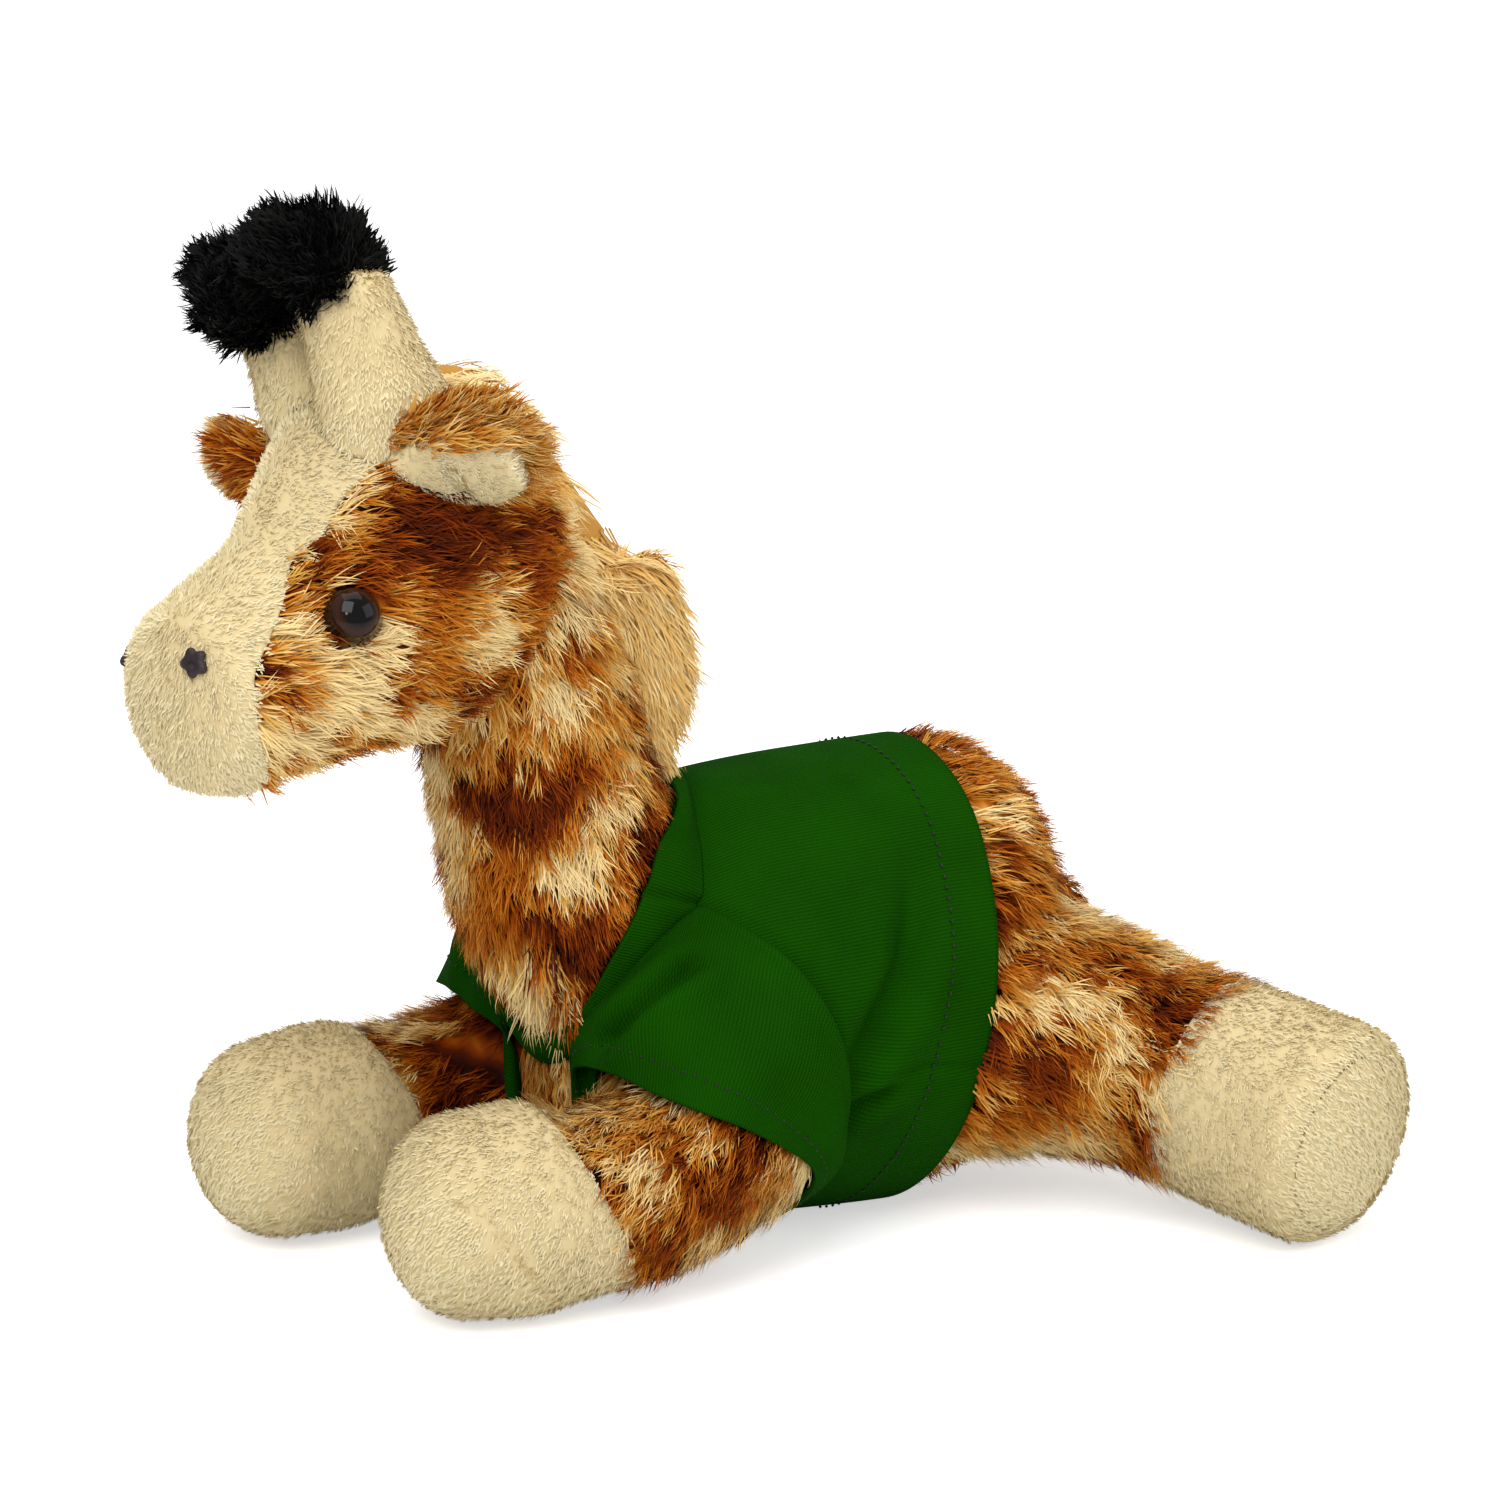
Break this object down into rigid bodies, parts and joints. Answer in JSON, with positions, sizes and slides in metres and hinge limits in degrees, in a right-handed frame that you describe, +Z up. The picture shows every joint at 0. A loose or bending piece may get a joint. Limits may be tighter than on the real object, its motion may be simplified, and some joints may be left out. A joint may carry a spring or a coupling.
{
  "type": "stuffed giraffe toy",
  "caption": "Plush giraffe lying on its belly in a short-sleeved jersey shirt, with a long neck, shaggy-tipped horns, splayed hind legs, and a neck, head, ears, legs and tail that turn.",
  "frame": {"origin": "on the floor, under the middle of the bounding box", "axes": "+Z up, -X is where the giraffe looks, -Y its left side"},
  "size_m": [0.2052, 0.1542, 0.1821],
  "materials": {
    "fur": "long-pile plush, cream with golden and dark brown patches",
    "cream_plush": "short-pile cream plush",
    "mane_pile": "long sand-coloured pile",
    "black_pile": "shaggy black pile",
    "jersey": "dark green cotton jersey",
    "stuffing": "loose polyester fibre",
    "pellet_cloth": "woven bag of plastic pellets",
    "eye_plastic": "polished black dome",
    "washer_plastic": "moulded lock washer",
    "thread": "satin-stitched dark brown thread"
  },
  "bodies": {
    "torso": {"torso_skin": "fur", "torso_stuffing": "stuffing", "pellet_pouch": "pellet_cloth", "shirt_trunk": "jersey", "shirt_neckband": "jersey"},
    "neck": {"neck_skin": "fur", "neck_stuffing": "stuffing", "mane_neck": "mane_pile"},
    "head": {"head_skin": "fur", "face_panel": "cream_plush", "head_stuffing": "stuffing", "mane_head": "mane_pile", "horn_stem_left": "cream_plush", "horn_tuft_left": "black_pile", "horn_stem_right": "cream_plush", "horn_tuft_right": "black_pile", "eye_left": "eye_plastic", "eye_washer_left": "washer_plastic", "nostril_left": "thread", "eye_right": "eye_plastic", "eye_washer_right": "washer_plastic", "nostril_right": "thread"},
    "ear_left": {"ear_back_left": "fur", "ear_lining_left": "cream_plush"},
    "ear_right": {"ear_back_right": "fur", "ear_lining_right": "cream_plush"},
    "front_leg_left": {"front_leg_skin_left": "fur", "front_hoof_left": "cream_plush", "front_leg_stuffing_left": "stuffing", "sleeve_left": "jersey"},
    "front_leg_right": {"front_leg_skin_right": "fur", "front_hoof_right": "cream_plush", "front_leg_stuffing_right": "stuffing", "sleeve_right": "jersey"},
    "hind_leg_left": {"hind_leg_skin_left": "fur", "hind_hoof_left": "cream_plush", "hind_sole_left": "cream_plush", "hind_leg_stuffing_left": "stuffing"},
    "hind_leg_right": {"hind_leg_skin_right": "fur", "hind_hoof_right": "cream_plush", "hind_sole_right": "cream_plush", "hind_leg_stuffing_right": "stuffing"},
    "tail": {"tail_skin": "fur", "tail_tuft": "black_pile"}
  },
  "joints": [
    {"name": "neck_bend", "type": "hinge", "parent": "torso", "child": "neck", "pos_m": [-0.0109, 0, 0.05], "axis": [0, 1, 0], "range_deg": [-10, 10]},
    {"name": "head_nod", "type": "hinge", "parent": "neck", "child": "head", "pos_m": [-0.0389, 0, 0.112], "axis": [0, 1, 0], "range_deg": [-12, 12]},
    {"name": "ear_left_flop", "type": "hinge", "parent": "head", "child": "ear_left", "pos_m": [-0.06094, -0.01576, 0.14092], "axis": [-0.0272, 0.1715, 0.9848], "range_deg": [-20, 20]},
    {"name": "ear_right_flop", "type": "hinge", "parent": "head", "child": "ear_right", "pos_m": [-0.06576, 0.01465, 0.13549], "axis": [-0.0272, 0.1715, 0.9848], "range_deg": [-20, 20]},
    {"name": "front_leg_left_swing", "type": "hinge", "parent": "torso", "child": "front_leg_left", "pos_m": [0.0001, -0.017, 0.03], "axis": [0, 0, 1], "range_deg": [-6, 12]},
    {"name": "front_leg_right_swing", "type": "hinge", "parent": "torso", "child": "front_leg_right", "pos_m": [0.0001, 0.017, 0.03], "axis": [0, 0, 1], "range_deg": [-12, 6]},
    {"name": "hind_leg_left_swing", "type": "hinge", "parent": "torso", "child": "hind_leg_left", "pos_m": [0.0441, -0.015, 0.032], "axis": [0, 0, 1], "range_deg": [-14, 10]},
    {"name": "hind_leg_right_swing", "type": "hinge", "parent": "torso", "child": "hind_leg_right", "pos_m": [0.0441, 0.015, 0.032], "axis": [0, 0, 1], "range_deg": [-10, 14]},
    {"name": "tail_swing", "type": "hinge", "parent": "torso", "child": "tail", "pos_m": [0.06624, 0, 0.048], "axis": [0, -1, 0], "range_deg": [0, 50]}
  ]
}
